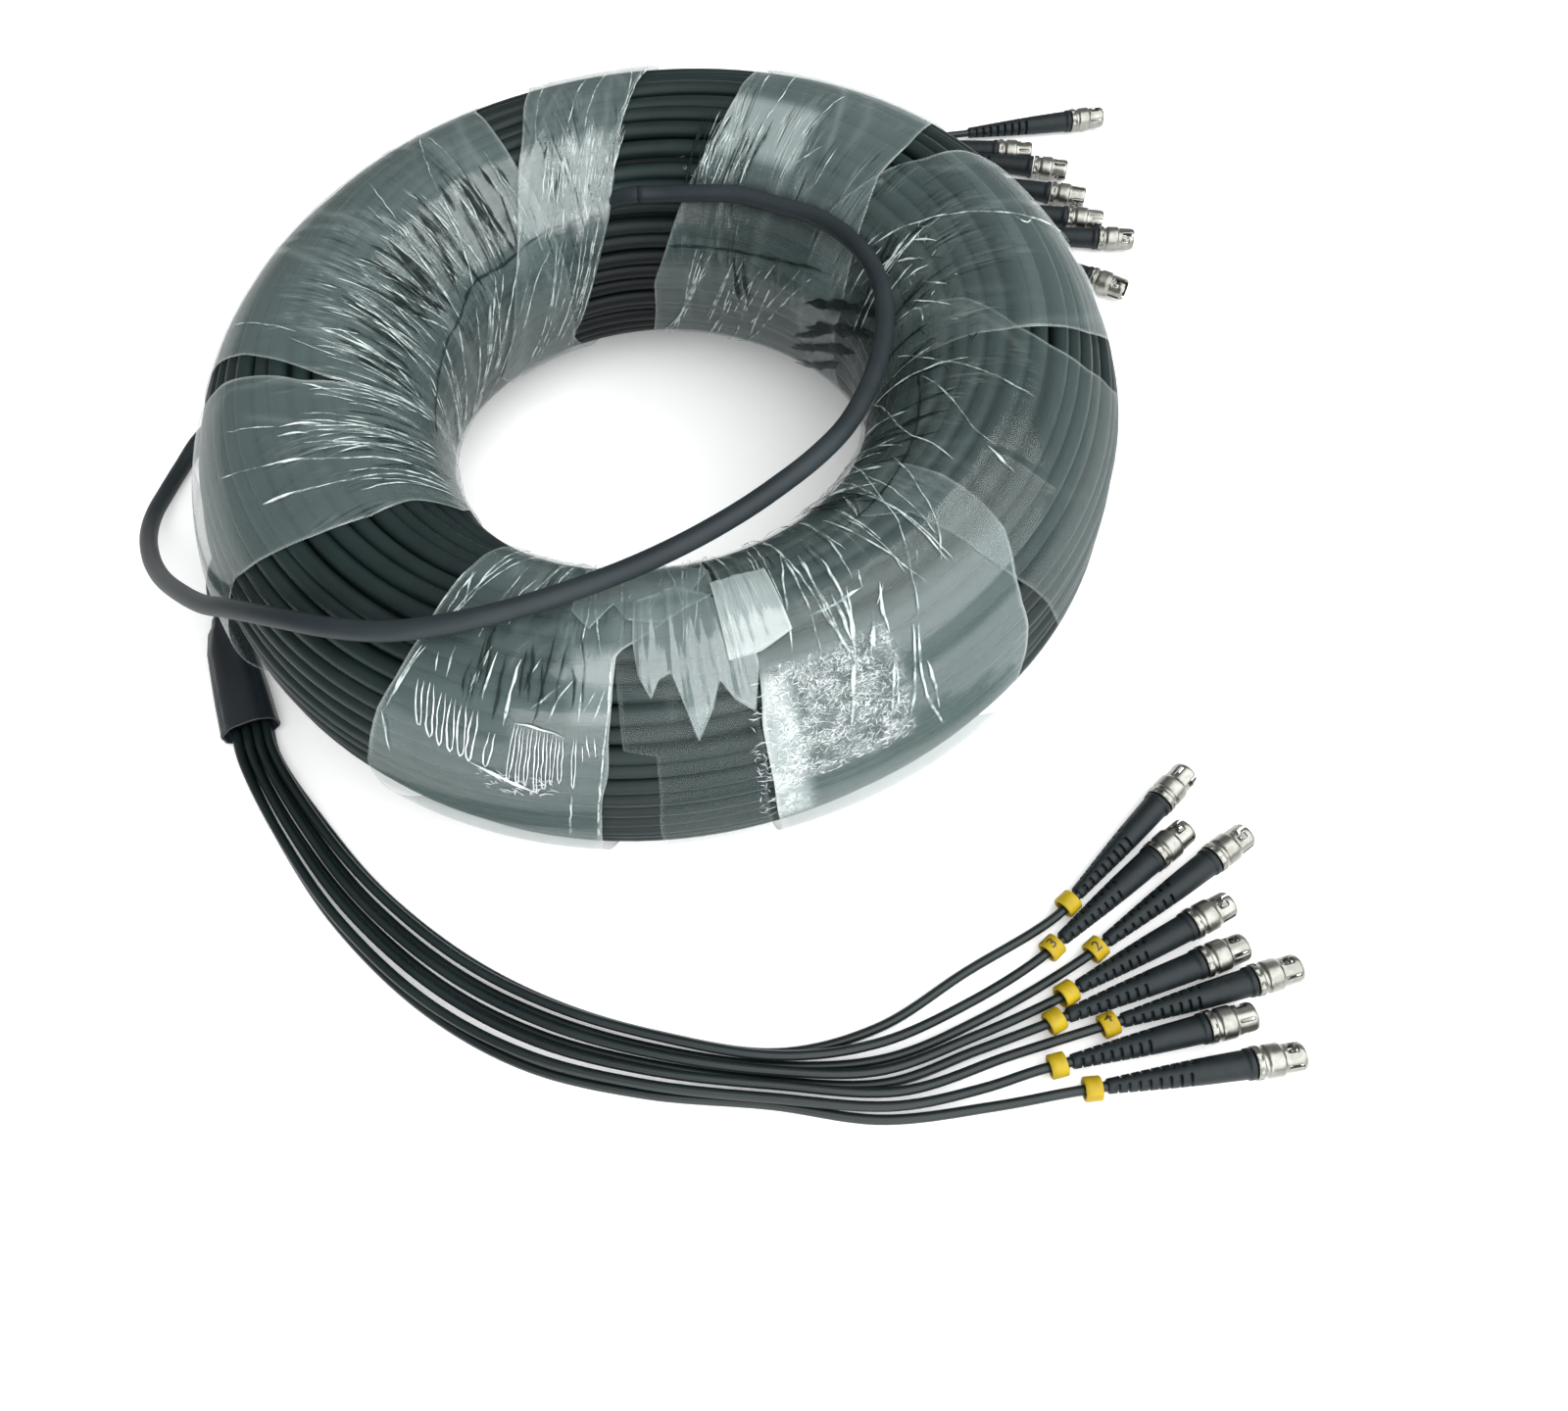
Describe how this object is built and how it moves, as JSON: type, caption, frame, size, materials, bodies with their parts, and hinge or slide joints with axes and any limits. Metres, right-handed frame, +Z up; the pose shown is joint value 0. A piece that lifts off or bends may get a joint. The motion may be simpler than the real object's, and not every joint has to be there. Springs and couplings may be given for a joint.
{
  "type": "fibre breakout cable",
  "caption": "Film-bound coil of round black fibre trunk cable with a loose turn and a sleeve at each end that splits it into numbered legs with booted bayonet connectors.",
  "frame": {"origin": "centre of the wound coil, on the level floor it lies on", "axes": "+Z up along the coil's axis, +X to the right and -Y towards the viewer of the picture, so the near connectors lie at +X, -Y and the far ones at +X, +Y"},
  "size_m": [0.3852, 0.4493, 0.1103],
  "materials": {
    "jacket": "satin",
    "leg_jacket": "gloss",
    "film": "clear gloss",
    "heat_shrink": "satin",
    "boot_rubber": "matte",
    "nickel": "satin plated",
    "white_ceramic": "gloss",
    "yellow_plastic": "satin"
  },
  "bodies": {
    "cable": {"cable_coil": "jacket", "film_wrap_left_back": "film", "film_wrap_right_back": "film", "film_wrap_right": "film", "film_wrap_front": "film", "film_wrap_left_front": "film", "film_wrap_left": "film", "trunk_loop": "jacket", "near_trunk_lead": "jacket", "far_trunk_lead": "jacket", "near_breakout_sleeve": "heat_shrink", "far_breakout_sleeve": "heat_shrink", "near_leg_1": "leg_jacket", "near_marker_ring_1": "yellow_plastic", "near_boot_1": "boot_rubber", "near_plug_1": "white_ceramic", "far_pigtail_1": "leg_jacket", "near_leg_2": "leg_jacket", "near_marker_ring_2": "yellow_plastic", "near_boot_2": "boot_rubber", "near_plug_2": "white_ceramic", "far_pigtail_2": "leg_jacket", "near_leg_3": "leg_jacket", "near_marker_ring_3": "yellow_plastic", "near_boot_3": "boot_rubber", "near_plug_3": "white_ceramic", "far_pigtail_3": "leg_jacket", "near_leg_4": "leg_jacket", "near_marker_ring_4": "yellow_plastic", "near_boot_4": "boot_rubber", "near_plug_4": "white_ceramic", "far_pigtail_4": "leg_jacket", "near_leg_5": "leg_jacket", "near_marker_ring_5": "yellow_plastic", "near_boot_5": "boot_rubber", "near_plug_5": "white_ceramic", "far_pigtail_5": "leg_jacket", "near_leg_6": "leg_jacket", "near_marker_ring_6": "yellow_plastic", "near_boot_6": "boot_rubber", "near_plug_6": "white_ceramic", "far_pigtail_6": "leg_jacket", "near_leg_7": "leg_jacket", "near_marker_ring_7": "yellow_plastic", "near_boot_7": "boot_rubber", "near_plug_7": "white_ceramic", "far_pigtail_7": "leg_jacket", "near_leg_8": "leg_jacket", "near_marker_ring_8": "yellow_plastic", "near_boot_8": "boot_rubber", "near_plug_8": "white_ceramic", "far_pigtail_8": "leg_jacket"},
    "nut_1": {"near_coupling_nut_1": "nickel"},
    "nut_2": {"near_coupling_nut_2": "nickel"},
    "nut_3": {"near_coupling_nut_3": "nickel"},
    "nut_4": {"near_coupling_nut_4": "nickel"},
    "nut_5": {"near_coupling_nut_5": "nickel"},
    "nut_6": {"near_coupling_nut_6": "nickel"},
    "nut_7": {"near_coupling_nut_7": "nickel"},
    "nut_8": {"near_coupling_nut_8": "nickel"}
  },
  "joints": [
    {"name": "near_nut_turn_1", "type": "hinge", "parent": "cable", "child": "nut_1", "pos_m": [0.16314, -0.11825, 0.00496], "axis": [0.6973, 0.7164, 0.0225], "continuous": true},
    {"name": "near_nut_turn_2", "type": "hinge", "parent": "cable", "child": "nut_2", "pos_m": [0.15874, -0.13725, 0.00495], "axis": [0.7706, 0.6368, 0.0232], "continuous": true},
    {"name": "near_nut_turn_3", "type": "hinge", "parent": "cable", "child": "nut_3", "pos_m": [0.17661, -0.13833, 0.005], "axis": [0.8129, 0.582, 0.02], "continuous": true},
    {"name": "near_nut_turn_4", "type": "hinge", "parent": "cable", "child": "nut_4", "pos_m": [0.1662, -0.15972, 0.00495], "axis": [0.8869, 0.4615, 0.0234], "continuous": true},
    {"name": "near_nut_turn_5", "type": "hinge", "parent": "cable", "child": "nut_5", "pos_m": [0.16755, -0.17163, 0.00497], "axis": [0.9369, 0.3488, 0.0219], "continuous": true},
    {"name": "near_nut_turn_6", "type": "hinge", "parent": "cable", "child": "nut_6", "pos_m": [0.18197, -0.17728, 0.00496], "axis": [0.9621, 0.2718, 0.0229], "continuous": true},
    {"name": "near_nut_turn_7", "type": "hinge", "parent": "cable", "child": "nut_7", "pos_m": [0.1657, -0.19122, 0.00495], "axis": [0.9734, 0.2278, 0.0231], "continuous": true},
    {"name": "near_nut_turn_8", "type": "hinge", "parent": "cable", "child": "nut_8", "pos_m": [0.17735, -0.2017, 0.00496], "axis": [0.9899, 0.1399, 0.0225], "continuous": true}
  ]
}
